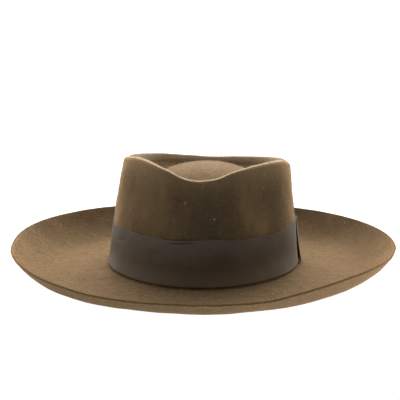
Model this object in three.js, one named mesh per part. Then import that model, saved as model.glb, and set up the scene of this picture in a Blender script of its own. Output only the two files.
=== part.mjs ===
// A wide-brimmed felt fedora: one felt body with a telescope crown and an upturned brim,
// a plain ribbon round the crown and a flat bow on the wearer's left.
// Millimetres, +Z up, -Y the front, +X the wearer's left. The origin is on the surface that
// the hat rests on, under the middle of the brim.

import * as THREE from "three";

// Driving dimensions
const FELT = 2; // thickness of the felt
const REST = 6.6; // height of the front of the crown's base above the resting surface
const HEAD = { halfWidth: 86.5, halfLength: 103.5, sideRise: 2.4 }; // outline of the crown's base
const BASE_BEND = 2; // reach of the bend between crown and brim
const BRIM = { halfWidth: 175.9, halfLength: 192, shift: 0.6, flatShare: 0.62 }; // shifted to the left
const EDGE_ROUND = 0.6; // how far the brim's cut edge stands out in the middle
const RIM = { halfWidth: 76.2, frontLength: 83.8, backLength: 85.7, squareness: 2.24 }; // top of the crown
const RIM_SHIFT = 2.2; // the crown's top leans this far to the wearer's left
const RIM_FALL = 1.1; // and its left side lies this much lower than the table says
const CREST = { radius: 3, extraAtSides: 2 }; // round of the rim
const DOME = { halfWidth: 50, halfLength: 62.5, top: 95.7, drop: 13.7 }; // middle of the crown's top
const TROUGH = { below: 4, reach: 8 }; // the groove between the dome and the rim
const WALL_BULGE = 1.1; // outward swell of the crown's side, halfway up

// Height of the brim's edge over the base of the crown, going round from the front to the left
const EDGE_HEIGHT = [
  { at: 0, height: 8.6 },
  { at: 22, height: 10.2 },
  { at: 45, height: 17.9 },
  { at: 90, height: 21.0 },
  { at: 135, height: 21.4 },
  { at: 180, height: 20.6 },
  { at: 225, height: 21.6 },
  { at: 270, height: 21.1 },
  { at: 315, height: 13.0 },
  { at: 338, height: 9.3 },
];

// How far the brim's outline bulges towards a square, 2 being an ellipse
const BRIM_OUTLINE = [
  { at: 0, squareness: 2.1 },
  { at: 90, squareness: 2.0 },
  { at: 180, squareness: 2.06 },
  { at: 270, squareness: 2.16 },
];

// How late the curl of the brim steepens
const BRIM_CURL = [
  { at: 0, power: 2.0 },
  { at: 45, power: 1.75 },
  { at: 90, power: 2.15 },
  { at: 180, power: 2.2 },
  { at: 270, power: 1.85 },
  { at: 315, power: 2.15 },
];

// How far the flat of the brim lies under the base of the crown
const BRIM_DIP = [
  { at: 0, depth: 5.0 },
  { at: 90, depth: 4.4 },
  { at: 180, depth: 5.0 },
  { at: 270, depth: 5.4 },
];

// Height of the crown's rim over its base: a dip at the front, the highest points beside it
const RIM_HEIGHT = [
  { at: 0, height: 93.6 },
  { at: 12, height: 96.4 },
  { at: 24, height: 102.7 },
  { at: 45, height: 106.6 },
  { at: 68, height: 106.2 },
  { at: 90, height: 98.1 },
  { at: 115, height: 95.6 },
  { at: 145, height: 91.3 },
  { at: 180, height: 88.0 },
  { at: 215, height: 91.4 },
  { at: 245, height: 96.4 },
  { at: 270, height: 98.8 },
  { at: 292, height: 104.2 },
  { at: 315, height: 107.4 },
  { at: 336, height: 101.9 },
  { at: 348, height: 95.7 },
];

// How far the inside of the rim leans outward from upright, in degrees
const INNER_LEAN = [
  { at: 0, lean: 14 },
  { at: 90, lean: 20 },
  { at: 180, lean: 32 },
  { at: 270, lean: 20 },
];

// The two shallow pinches beside the front, pressed into the crown's side
const PINCHES = [
  { at: 41, spread: 24, depth: 3.2 },
  { at: 313, spread: 26, depth: 2.6 },
];
const PINCH = { foot: 0.44, deepest: 0.8, rimShare: 0.5 }; // shares of the wall's height, and of the depth

// Ribbon and bow
const CLOTH_GAP = 0.3; // clearance between the layers
const RIBBON = { width: 42, thickness: 1, foot: 2.3 }; // foot is its height up the wall
const BOW = { from: 92, to: 133, thickness: 1.4, middle: 22.3, width: 41, waist: 36 };
const BOW_SPRINGS = { top: 0.5, foot: 1.9 }; // how far the ends of the loops stand off
const KNOT = { width: 11, thickness: 1.2 };

// Fineness of the surfaces
const COLUMNS = 60; // round the hat
const DOME_SHARES = [0.3, 0.55, 0.78, 1];
const TROUGH_STEPS = 5;
const CREST_STEPS = 5;
const WALL_SHARES = [0.86, 0.73, 0.6, 0.45, 0.28, 0.12];
const BEND_STEPS = 3;
const BRIM_SHARES = [0.16, 0.32, 0.46, 0.54, 0.62, 0.69, 0.77, 0.85, 0.93, 1];
const RIBBON_STEPS = 4;
const BOW_COLUMNS = 16;
const BOW_ROWS = 4;
const KNOT_COLUMNS = 3;

const UP = new THREE.Vector3(0, 0, 1);
const radians = THREE.MathUtils.degToRad;

// A smooth value at an angle, through the rows of a table that goes once round the hat
function around(table, column, angle) {
  const turn = 360;
  const place = THREE.MathUtils.euclideanModulo(THREE.MathUtils.radToDeg(angle), turn);
  const count = table.length;
  const row = (i) => {
    const laps = Math.floor(i / count);
    const entry = table[i - laps * count];
    return { at: entry.at + laps * turn, value: entry[column] };
  };
  let i = count - 1;
  while (row(i).at > place) {
    i -= 1;
  }
  const [before, start, end, after] = [row(i - 1), row(i), row(i + 1), row(i + 2)];
  const span = end.at - start.at;
  const u = (place - start.at) / span;
  const slopeStart = (span * (end.value - before.value)) / (end.at - before.at);
  const slopeEnd = (span * (after.value - start.value)) / (after.at - start.at);
  return (
    start.value * (1 + 2 * u) * (1 - u) ** 2 +
    end.value * u * u * (3 - 2 * u) +
    slopeStart * u * (1 - u) ** 2 +
    slopeEnd * u * u * (u - 1)
  );
}

// A point on a rounded oval, angle 0 at the front and 90 degrees at the wearer's left
function oval(angle, halfWidth, frontLength, backLength, squareness) {
  const side = Math.sin(angle);
  const front = Math.cos(angle);
  const power = Math.abs(side) ** squareness + Math.abs(front) ** squareness;
  const size = power ** (-1 / squareness);
  const length = front > 0 ? frontLength : backLength;
  return new THREE.Vector3(halfWidth * side * size, -length * front * size, 0);
}

function basePoint(angle) {
  const point = oval(angle, HEAD.halfWidth, HEAD.halfLength, HEAD.halfLength, 2);
  point.z = REST + HEAD.sideRise * Math.sin(angle) ** 2;
  return point;
}

function rimOutline(angle) {
  return oval(angle, RIM.halfWidth, RIM.frontLength, RIM.backLength, RIM.squareness);
}

// Depth of the pinches at an angle round the crown
function pinchDepth(angle) {
  let depth = 0;
  for (const pinch of PINCHES) {
    const away = Math.atan2(Math.sin(angle - radians(pinch.at)), Math.cos(angle - radians(pinch.at)));
    const share = Math.min(Math.abs(away) / radians(pinch.spread), 1);
    depth += (pinch.depth * (1 + Math.cos(Math.PI * share))) / 2;
  }
  return depth;
}

// How far a pinch of depth 1 goes in at a share of the wall's height
function pinchProfile(share) {
  if (share < PINCH.deepest) {
    return THREE.MathUtils.smoothstep(share, PINCH.foot, PINCH.deepest);
  }
  const past = THREE.MathUtils.smoothstep(share, PINCH.deepest, 1);
  return 1 + (PINCH.rimShare - 1) * past;
}

// The frame of one upright section: base, rim circle, outward direction and the wall's lean
function section(angle) {
  const base = basePoint(angle);
  const outline = rimOutline(angle);
  const step = 1e-4;
  const along = rimOutline(angle + step).sub(outline).normalize();
  const outward = new THREE.Vector3(along.y, -along.x, 0);
  const radius = CREST.radius + CREST.extraAtSides * Math.sin(angle) ** 4;
  const height = around(RIM_HEIGHT, "height", angle) - RIM_FALL * Math.sin(angle);
  const pinch = pinchDepth(angle);
  const centre = outline
    .addScaledVector(outward, -radius - pinch * PINCH.rimShare)
    .add(new THREE.Vector3(RIM_SHIFT, 0, REST + height - radius));
  const rise = centre.clone().sub(base);
  const inward = -rise.dot(outward);
  const lean = Math.atan2(inward, rise.z) - Math.asin(radius / Math.hypot(inward, rise.z));
  const crest = (turn) =>
    centre
      .clone()
      .addScaledVector(outward, radius * Math.cos(turn))
      .addScaledVector(UP, radius * Math.sin(turn));
  const shoulder = crest(lean);
  const length = shoulder.distanceTo(base);
  const facing = outward.clone().multiplyScalar(Math.cos(lean)).addScaledVector(UP, Math.sin(lean));
  const innerTurn = Math.PI - radians(around(INNER_LEAN, "lean", angle));
  const squareness = around(BRIM_OUTLINE, "squareness", angle);
  const edge = oval(angle, BRIM.halfWidth, BRIM.halfLength, BRIM.halfLength, squareness);
  edge.x += BRIM.shift;
  edge.z = REST + around(EDGE_HEIGHT, "height", angle);
  return { angle, base, outward, lean, crest, shoulder, length, facing, pinch, innerTurn, edge };
}

// A point of the crown's side, at a share of its height and a distance out from the felt
function wallPoint(cut, share, out = 0) {
  const swell = WALL_BULGE * 4 * share * (1 - share);
  const pressed = cut.pinch * (pinchProfile(share) - PINCH.rimShare * share);
  return cut.base
    .clone()
    .lerp(cut.shoulder, share)
    .addScaledVector(cut.outward, swell - pressed)
    .addScaledVector(cut.facing, out);
}

function domePoint(angle, share) {
  return new THREE.Vector3(
    RIM_SHIFT + DOME.halfWidth * share * Math.sin(angle),
    -DOME.halfLength * share * Math.cos(angle),
    REST + DOME.top - DOME.drop * share * share,
  );
}

// The groove from the dome's edge down and up again to the inside of the rim
function troughCurve(cut) {
  const inside = cut.crest(cut.innerTurn);
  const down = cut.outward
    .clone()
    .multiplyScalar(-Math.sin(cut.innerTurn))
    .addScaledVector(UP, Math.cos(cut.innerTurn));
  const domeEdge = domePoint(cut.angle, 1);
  const fall = new THREE.Vector3(
    DOME.halfWidth * Math.sin(cut.angle),
    -DOME.halfLength * Math.cos(cut.angle),
    -2 * DOME.drop,
  ).normalize();
  const depth = inside.z - (domeEdge.z - TROUGH.below);
  return new THREE.CubicBezierCurve3(
    domeEdge,
    domeEdge.clone().addScaledVector(fall, TROUGH.reach),
    inside.clone().addScaledVector(down, (0.92 * depth) / -down.z),
    inside,
  );
}

// A point of the brim's upper face: a gentle dip, then a curl that steepens to the edge
function brimPoint(cut, share) {
  const dip = around(BRIM_DIP, "depth", cut.angle);
  const low = cut.base.z - dip;
  const point = cut.base.clone().lerp(cut.edge, share);
  if (share < BRIM.flatShare) {
    point.z = low + dip * (1 - share / BRIM.flatShare) ** 2;
  } else {
    const past = (share - BRIM.flatShare) / (1 - BRIM.flatShare);
    point.z = low + (cut.edge.z - low) * past ** around(BRIM_CURL, "power", cut.angle);
  }
  return point;
}

// The bend between the foot of the wall and the start of the brim
function bendCurve(cut) {
  const brimReach = Math.hypot(cut.edge.x - cut.base.x, cut.edge.y - cut.base.y);
  return new THREE.QuadraticBezierCurve3(
    wallPoint(cut, BASE_BEND / cut.length),
    cut.base,
    brimPoint(cut, BASE_BEND / brimReach),
  );
}

// The upper face of the felt on one section, from the dome to the brim's edge
function upperLine(angle) {
  const cut = section(angle);
  const trough = troughCurve(cut);
  const bend = bendCurve(cut);
  const line = DOME_SHARES.map((share) => domePoint(angle, share));
  for (let i = 1; i < TROUGH_STEPS; i += 1) {
    line.push(trough.getPoint(i / TROUGH_STEPS));
  }
  for (let i = 0; i <= CREST_STEPS; i += 1) {
    line.push(cut.crest(THREE.MathUtils.lerp(cut.innerTurn, cut.lean, i / CREST_STEPS)));
  }
  line.push(...WALL_SHARES.map((share) => wallPoint(cut, share)));
  for (let i = 0; i <= BEND_STEPS; i += 1) {
    line.push(bend.getPoint(i / BEND_STEPS));
  }
  line.push(...BRIM_SHARES.map((share) => brimPoint(cut, share)));
  return line;
}

// The direction out of a sheet at one of its points, from its neighbours in the grid
function facingAt(lines, column, row) {
  const line = lines[column];
  const next = lines[(column + 1) % lines.length];
  const last = lines[(column + lines.length - 1) % lines.length];
  const down = line[Math.min(row + 1, line.length - 1)].clone().sub(line[Math.max(row - 1, 0)]);
  const across = next[row].clone().sub(last[row]);
  return down.cross(across).normalize();
}

// Triangles for every square of a grid of point numbers; closed grids wrap round
function gridFaces(width, height, wrapWidth, wrapHeight, number) {
  const faces = [];
  for (let i = 0; i < width - (wrapWidth ? 0 : 1); i += 1) {
    for (let j = 0; j < height - (wrapHeight ? 0 : 1); j += 1) {
      const [i2, j2] = [(i + 1) % width, (j + 1) % height];
      faces.push(number(i, j), number(i, j2), number(i2, j2));
      faces.push(number(i, j), number(i2, j2), number(i2, j));
    }
  }
  return faces;
}

function toGeometry(points, faces) {
  const geometry = new THREE.BufferGeometry().setFromPoints(points);
  geometry.setIndex(faces);
  geometry.computeVertexNormals();
  return geometry;
}

// The felt body: upper face, rounded edge and under face, closed at both poles
function feltBody() {
  const angles = Array.from({ length: COLUMNS }, (_, i) => (2 * Math.PI * i) / COLUMNS);
  const upper = angles.map(upperLine);
  const outlines = upper.map((line, column) => {
    const under = line.map((point, row) => {
      const inner = point.clone().addScaledVector(facingAt(upper, column, row), -FELT);
      inner.z = Math.max(inner.z, 0);
      return inner;
    });
    const last = line.length - 1;
    const outward = line[last].clone().sub(line[last - 1]).normalize();
    const edge = line[last].clone().lerp(under[last], 0.5).addScaledVector(outward, EDGE_ROUND);
    return [...line, edge, ...under.reverse()];
  });
  const rows = outlines[0].length;
  const top = domePoint(0, 0);
  const points = [...outlines.flat(), top, top.clone().addScaledVector(UP, -FELT)];
  const number = (i, j) => i * rows + j;
  const faces = gridFaces(COLUMNS, rows, true, false, number);
  const pole = COLUMNS * rows;
  for (let i = 0; i < COLUMNS; i += 1) {
    const next = (i + 1) % COLUMNS;
    faces.push(pole, number(i, 0), number(next, 0));
    faces.push(pole + 1, number(next, rows - 1), number(i, rows - 1));
  }
  return toGeometry(points, faces);
}

// The ribbon: a closed band round the wall, its outer face down and its inner face up
function ribbonBand() {
  const outer = CLOTH_GAP + RIBBON.thickness;
  const points = [];
  for (let i = 0; i < COLUMNS; i += 1) {
    const cut = section((2 * Math.PI * i) / COLUMNS);
    const height = (step) => (RIBBON.foot + (RIBBON.width * step) / RIBBON_STEPS) / cut.length;
    for (let step = RIBBON_STEPS; step >= 0; step -= 1) {
      points.push(wallPoint(cut, height(step), outer));
    }
    for (let step = 0; step <= RIBBON_STEPS; step += 1) {
      points.push(wallPoint(cut, height(step), CLOTH_GAP));
    }
  }
  const rows = 2 * (RIBBON_STEPS + 1);
  return toGeometry(points, gridFaces(COLUMNS, rows, true, true, (i, j) => i * rows + j));
}

// A closed piece of cloth from its outer and inner faces, each a point for a column and a row
function clothPiece(columns, rows, outer, inner) {
  const points = [];
  const loop = 2 * (rows + 1);
  for (let i = 0; i <= columns; i += 1) {
    for (let j = 0; j <= rows; j += 1) {
      points.push(outer(i / columns, 1 - j / rows));
    }
    for (let j = 0; j <= rows; j += 1) {
      points.push(inner(i / columns, j / rows));
    }
  }
  const number = (i, j) => i * loop + j;
  const faces = gridFaces(columns + 1, loop, false, true, number);
  for (let j = 0; j < rows; j += 1) {
    const back = loop - 1 - j;
    faces.push(number(0, j), number(0, back), number(0, back - 1));
    faces.push(number(0, j), number(0, back - 1), number(0, j + 1));
    faces.push(number(columns, j), number(columns, back - 1), number(columns, back));
    faces.push(number(columns, j), number(columns, j + 1), number(columns, back - 1));
  }
  return toGeometry(points, faces);
}

const KNOT_CLEARANCE = CLOTH_GAP + 0.2; // the loops spring up a little under the knot
const BOW_SEAT = 2 * CLOTH_GAP + RIBBON.thickness; // underside of the bow, out from the felt
const bowAngle = (along) => radians(THREE.MathUtils.lerp(BOW.from, BOW.to, along));

// The two flat loops of the bow, held tight in the middle and standing off at both ends
function bowLoops() {
  const face = (extra) => (along, up) => {
    const away = Math.abs(2 * along - 1);
    const height = THREE.MathUtils.lerp(BOW.waist, BOW.width, THREE.MathUtils.smoothstep(away, 0.1, 0.55));
    const springs = THREE.MathUtils.lerp(BOW_SPRINGS.top, BOW_SPRINGS.foot, (1 - up) ** 1.5);
    const out = BOW_SEAT + springs * away ** 1.5 + extra;
    const cut = section(bowAngle(along));
    return wallPoint(cut, (BOW.middle + (up - 0.5) * height) / cut.length, out);
  };
  return clothPiece(BOW_COLUMNS, BOW_ROWS, face(BOW.thickness), face(0));
}

// The knot: a strip over the middle of the loops, its ends turned down to the ribbon
function bowKnot() {
  const path = [
    { side: -1, raised: 0 },
    { side: -1, raised: 1 },
    { side: 0, raised: 1 },
    { side: 1, raised: 1 },
    { side: 1, raised: 0 },
  ];
  const halfSpan = KNOT.width / (2 * HEAD.halfLength);
  const face = (extra) => (along, up) => {
    const row = path[Math.round(up * (path.length - 1))];
    const height = row.side * (BOW.waist / 2 + KNOT_CLEARANCE + extra);
    const out = BOW_SEAT + row.raised * (BOW.thickness + KNOT_CLEARANCE + extra);
    const cut = section(bowAngle(0.5) + (2 * along - 1) * halfSpan);
    return wallPoint(cut, (BOW.middle + height) / cut.length, out);
  };
  return clothPiece(KNOT_COLUMNS, path.length - 1, face(KNOT.thickness), face(0));
}

function namedMesh(name, geometry, color, roughness) {
  const material = new THREE.MeshStandardMaterial({ color, roughness, metalness: 0 });
  const mesh = new THREE.Mesh(geometry, material);
  mesh.name = name;
  return mesh;
}

const hat = new THREE.Group();
hat.add(
  namedMesh("felt_body", feltBody(), 0x7a6244, 0.95),
  namedMesh("ribbon_band", ribbonBand(), 0x433b34, 0.75),
  namedMesh("bow_loops", bowLoops(), 0x433b34, 0.75),
  namedMesh("bow_knot", bowKnot(), 0x433b34, 0.75),
);

export default hat;
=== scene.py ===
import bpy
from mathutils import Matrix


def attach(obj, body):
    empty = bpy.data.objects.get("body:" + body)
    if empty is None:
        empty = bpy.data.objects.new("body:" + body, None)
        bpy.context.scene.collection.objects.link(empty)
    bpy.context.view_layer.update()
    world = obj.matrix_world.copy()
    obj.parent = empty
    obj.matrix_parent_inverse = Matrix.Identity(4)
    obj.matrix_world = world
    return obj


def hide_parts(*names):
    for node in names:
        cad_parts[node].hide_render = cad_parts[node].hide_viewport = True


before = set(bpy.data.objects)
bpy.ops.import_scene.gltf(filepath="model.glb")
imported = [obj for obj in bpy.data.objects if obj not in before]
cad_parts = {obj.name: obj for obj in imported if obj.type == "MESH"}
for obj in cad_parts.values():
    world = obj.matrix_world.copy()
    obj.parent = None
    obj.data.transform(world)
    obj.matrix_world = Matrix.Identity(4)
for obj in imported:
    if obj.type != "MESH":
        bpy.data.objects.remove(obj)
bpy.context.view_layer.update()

import math

import bpy
import numpy as np
from mathutils import Matrix, Vector

# A wide-brimmed felt fedora with a grosgrain ribbon and a flat side bow.
# Shapes are worked out in millimetres in the frame's axes: +Z up, -Y the front, +X the wearer's
# left. Angles go round the hat from 0 at the front to 90 degrees at the wearer's left.

MM = 0.001


def table(columns, *rows):
    """The rows of a table whose columns are named once."""
    return [dict(zip(columns.split(), row)) for row in rows]


# Felt body: the driving sizes of the frame's felt_body, some set closer to the photograph
FELT = 2.0
REST = 6.6
HEAD = {"half_width": 86.5, "half_length": 103.5, "side_rise": 2.4}
BASE_BEND = 2.0
BRIM = {"half_width": 175.9, "half_length": 192.0, "shift": 0.6, "flat_share": 0.62}
RIM = {"half_width": 76.2, "front": 83.8, "back": 85.7, "squareness": 2.24}
RIM_SHIFT = 2.2
RIM_FALL = 1.1
CREST = {"radius": 3.0, "extra_at_sides": 2.0}
SHOULDER = {"at": 88, "spread": 52, "out": 1.4}
DOME = {"half_width": 48.4, "half_length": 62.5, "top": 95.7, "drop": 13.7, "shift": 0.8}
TROUGH = {"below": 4.0, "reach": 8.0, "steepness": 0.92}
WALL_BULGE = 1.1
CUT_EDGE_ROUND = 0.55
SMALL_TURN = 1e-4  # radians between two points of an outline that give its direction

# Rows of degrees and millimetres, going round from the front to the wearer's left
EDGE_HEIGHT = [
    (0, 8.6), (22, 10.2), (45, 18.7), (90, 21.0), (135, 21.4),
    (180, 20.6), (225, 21.6), (270, 21.1), (315, 14.0), (338, 9.5),
]
BRIM_DIP = [(0, 5.0), (90, 4.4), (180, 5.0), (270, 5.4)]
RIM_HEIGHT = [
    (0, 93.6), (12, 96.4), (24, 102.7), (45, 106.6), (68, 106.2), (90, 98.1), (115, 95.6), (145, 91.3),
    (180, 88.0), (215, 91.4), (245, 96.4), (270, 99.2), (292, 105.5), (315, 107.5), (336, 101.9), (348, 95.7),
]

# Rows of degrees and shape: how square the brim is, how its curl steepens, how the rim leans inside
BRIM_SQUARENESS = [(0, 2.1), (90, 2.0), (180, 2.06), (270, 2.16)]
CURL_POWER = [(0, 2.0), (45, 1.75), (90, 2.15), (180, 2.2), (270, 1.85), (315, 2.15)]
INNER_LEAN = [(0, 14.0), (90, 20.0), (180, 32.0), (270, 20.0)]
PINCHES = table(
    "at spread depth",
    (41, 24, 3.2),
    (313, 26, 2.6),
)
PINCH = {"foot": 0.44, "deepest": 0.8, "rim_share": 0.5}

# Handmade unevenness of the felt
FELT_WAVES = table(
    "height length seed",
    (0.32, 52.0, 11),
    (0.10, 17.0, 12),
)
WAVE_DIRECTIONS = 9
WAVE_LENGTHS = (0.7, 1.5)  # least and greatest, as shares of the length above

# Ribbon: how much higher its upper edge runs, and where it stands off the felt
RIBBON = {"width": 42.0, "thickness": 0.6, "foot": 2.0, "gap": 0.3, "rows": 40}
RIBBON_RISE = [
    (0, -0.2), (10, 0.3), (24, -1.2), (34, -1.2), (43, -1.4), (51, -1.5), (60, -1.1), (68, -0.9), (82, 0.0),
    (180, 0.0), (270, -0.6), (292, -2.5), (304, -1.8), (314, -0.5), (326, -0.5), (334, -0.8), (343, -1.3),
    (352, -1.1),
]
RIB_PITCH = 0.9
RIBBON_CREASE = {"at": 303, "spread": 9, "height": 0.74, "slope": 0.004, "depth": 0.45, "width": 0.035}
# Lifts of the upper edge over shares of the width, and flares of the foot below a share of it
RIBBON_LIFTS = table(
    "at spread from to lift",
    (349, 17, 0.72, 1.0, 1.1),
    (318, 8, 0.8, 1.0, 0.5),
    (298, 14, 0.55, 0.9, 0.5),
    (58, 20, 0.8, 1.0, 0.35),
)
RIBBON_FLARES = table(
    "at spread below out",
    (84, 50, 0.50, 0.9),
    (272, 55, 0.55, 1.4),
)

# Bow and knot. Lengths along them are turned into angles as on a crown of this radius. Shares of the
# way from the bow's middle, at 0, to its ends, at 1, say where the loops widen and open, and how far
# the knot draws them in. The cloth step is the length of ribbon between two points of its ring.
BOW_RADIUS = 94.0
BOW = {
    "from": 92.0, "to": 133.0, "middle": 21.5, "width": 40.4, "thickness": 0.45, "seat": 2.1,
    "steps": 90, "rows": 26, "cloth_step": 0.74,
}
BOW_WAIST = {"width": 36.0, "from": 0.1, "to": 0.6}
BOW_DRAWN = {"reach": 0.35, "squeeze": 0.25, "pleats": 3.5, "pleat_height": 0.32}
BOW_SPRINGS = {"top": -0.81, "foot": 2.1, "steepness": 1.5}  # how far the ends stand off, beyond the seat
BOW_PRESSED = 0.4  # how much flatter the ends are at the top
BOW_OPENINGS = {"top": 0.4, "foot": 1.5}  # how much further apart the two layers are
BOW_OPEN_OVER = (0.12, 0.5, 0.6, 0.98)
BOW_FOLD = 0.34
BOW_ANGLE = math.radians((BOW["from"] + BOW["to"]) / 2)
BOW_HALF = math.radians((BOW["to"] - BOW["from"]) / 2) * BOW_RADIUS
KNOT = {
    "width": 11.0, "thickness": 0.5, "back": 1.27, "front": 3.4, "clearance": 1.2,
    "steps": 50, "rows": 12, "cloth_step": 0.75,
}
KNOT_FACE = {"swell": 0.45, "fold_height": 0.14, "fold_width": 4.2, "narrowing": 0.09}

# Tack stitches: degrees round, height up the felt in mm and the degrees that each is turned
STITCHES = table(
    "at height turn",
    (326.5, 40.3, 20.0),
    (329.5, 39.6, -10.0),
    (59.5, 5.2, 80.0),
    (151.0, 40.0, 10.0),
    (214.0, 5.0, 85.0),
)
STITCH = {
    "length": 1.7, "thickness": 0.42, "dimple": 0.35, "reach": 1.6,
    "proud": 0.05, "dip": 0.45, "thin_end": 0.05,
}

# Loose hairs over the felt: how many, their sizes, how many stand up and how high, and how densely
# they grow on the dome, inside the rim, on the wall, on the brim and under it. Where the front is
# bare, they grow in from there to the back over BARE_FRONT.
HAIRS = [
    {
        "piece": "felt_hairs", "material": "wool_hair", "count": 15000, "seed": 21,
        "length": (1.2, 3.6), "thickness": (0.08, 0.15), "standing": 0.25, "rise": 0.7,
        "top": 0.5, "inside": 0.5, "wall": 0.05, "brim": 1.0, "under": 0.12, "bare_front": 0.0,
    },
    {
        "piece": "crown_fuzz", "material": "golden_wool_hair", "count": 15000, "seed": 22,
        "length": (0.7, 1.9), "thickness": (0.05, 0.10), "standing": 0.9, "rise": 1.0,
        "top": 0.0, "inside": 0.0, "wall": 1.0, "brim": 0.0, "under": 0.0, "bare_front": 0.0,
    },
    {
        "piece": "top_fuzz", "material": "pale_wool_hair", "count": 16000, "seed": 23,
        "length": (0.6, 1.5), "thickness": (0.07, 0.12), "standing": 1.0, "rise": 0.9,
        "top": 1.0, "inside": 0.4, "wall": 0.0, "brim": 0.0, "under": 0.0, "bare_front": 0.85,
    },
]
HAIR_BEND = 0.22
HAIR_LIFT = (0.05, 0.32)
HAIR_SUNK = 0.12
HAIR_FLOOR = 0.02
HAIR_SIDES = [
    (0, 2, 1), (0, 3, 2), (0, 1, 3),
    (1, 2, 5, 4), (2, 3, 6, 5), (3, 1, 4, 6),
    (4, 5, 7), (5, 6, 7), (6, 4, 7),
]
BARE_FRONT = (-35.0, 22.0)

# Stations of the felt, counted as felt_skin says: where the dome's fuzz gives way to that inside the
# rim, where the wall's hairs begin, where the bend at the foot ends and where the underside begins
DOME_EDGE = (0.7, 1.4)
WALL_SIDE = 2.7
BEND_ENDS = 4.02
UNDERSIDE = 5.5

# Fineness of the meshes
FELT_COLUMNS = 300
DOME_ROWS = 16
TROUGH_ROWS = 12
CREST_ROWS = 12
WALL_ROWS = 36
BEND_ROWS = 6
BRIM_ROWS = 40
CUT_EDGE_STEPS = 5
RIBBON_COLUMNS = 560
STRIP_EDGE_STEPS = 7
LOOP_END_STEPS = 12
STITCH_RINGS, STITCH_SIDES = 9, 8

# Camera, from the outline of the hat in the 400 x 400 photograph
PHOTO_WIDTH = 400
CAMERA = {"distance": 1901.0, "azimuth": 3.80, "elevation": 11.43, "roll": 0.38, "focal_pixels": 2051.0}
CAMERA_TARGET = (0.0, 0.0, 51.6)
TARGET_PIXEL = (203.5, 216.8)
SENSOR_WIDTH = 36.0

# Soft lights round the studio, by the degrees at which each is seen from the hat. The focus says how
# tightly a light gathers.
LIGHTS = table(
    "azimuth elevation focus strength",
    (180, 75, 12.0, 1.3),
    (180, 45, 12.0, 6.0),
    (180, 15, 12.0, 1.6),
    (145, 45, 12.0, 0.8),
    (145, 15, 12.0, 0.9),
    (150, 8, 30.0, 1.6),
    (215, 45, 12.0, 2.1),
    (215, 15, 12.0, 0.5),
    (105, 40, 12.0, 0.6),
    (255, 40, 12.0, 0.6),
    (310, 15, 12.0, 0.2),
)

# The pale floor, in metres from the middle of the hat
FLOOR = {"half_width": 3.0, "front": 0.36, "back": 6.0, "albedo": 0.5, "seen_glow": 1.0}
GLOW = {
    "near": 0.54, "far": 0.79, "from": 0.20, "to": 0.42,
    "near_rise": 2.0, "far_rise": -2.0, "slope_reach": 0.35,
}

UP = np.array([0.0, 0.0, 1.0])


def around(table, angles):
    """A smooth value at each angle, in radians, through rows of degrees and values."""
    at = np.array([row[0] for row in table], float)
    value = np.array([row[1] for row in table], float)
    at = np.concatenate([at[-2:] - 360, at, at[:2] + 360])
    value = np.concatenate([value[-2:], value, value[:2]])
    slope = np.zeros(len(at))
    slope[1:-1] = (value[2:] - value[:-2]) / (at[2:] - at[:-2])
    place = np.mod(np.degrees(angles), 360)
    place = np.where(place < at[1], place + 360, place)
    i = np.clip(np.searchsorted(at, place, side="right") - 1, 1, len(at) - 3)
    span = at[i + 1] - at[i]
    u = (place - at[i]) / span
    return (
        value[i] * (1 + 2 * u) * (1 - u) ** 2
        + value[i + 1] * u * u * (3 - 2 * u)
        + span * slope[i] * u * (1 - u) ** 2
        + span * slope[i + 1] * u * u * (u - 1)
    )


def smoothstep(value, low, high):
    share = np.clip((value - low) / (high - low), 0, 1)
    return share * share * (3 - 2 * share)


def turned(angles, at):
    """How far angles lie round from one in degrees, in radians and by the shorter way."""
    return np.angle(np.exp(1j * (angles - np.radians(at))))


def hump(angles, at, spread):
    """1 at the angle at, falling smoothly to 0 at spread degrees from it."""
    away = np.degrees(turned(angles, at))
    return (1 + np.cos(np.pi * np.clip(np.abs(away) / spread, 0, 1))) / 2


def oval(angles, half_width, front, back, squareness):
    """Points of a rounded oval, level with the floor."""
    side, ahead = np.sin(angles), np.cos(angles)
    size = (np.abs(side) ** squareness + np.abs(ahead) ** squareness) ** (-1 / squareness)
    length = np.where(ahead > 0, front, back)
    return np.stack([half_width * side * size, -length * ahead * size, np.zeros_like(side)], -1)


def rim_outline(angles):
    return oval(angles, RIM["half_width"], RIM["front"], RIM["back"], RIM["squareness"])


def unit(vectors):
    return vectors / np.linalg.norm(vectors, axis=-1, keepdims=True)


def waver(points):
    """The felt's unevenness at each point: waves in a few directions drawn from a fixed seed."""
    total = np.zeros(points.shape[:-1])
    for wave in FELT_WAVES:
        draw = np.random.default_rng(wave["seed"])
        height = wave["height"] / math.sqrt(WAVE_DIRECTIONS)
        for _ in range(WAVE_DIRECTIONS):
            direction = unit(draw.normal(size=3))
            pitch = wave["length"] * draw.uniform(*WAVE_LENGTHS)
            phase = draw.uniform(0, 2 * np.pi)
            total += height * np.sin(2 * np.pi * (points @ direction) / pitch + phase)
    return total


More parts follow.
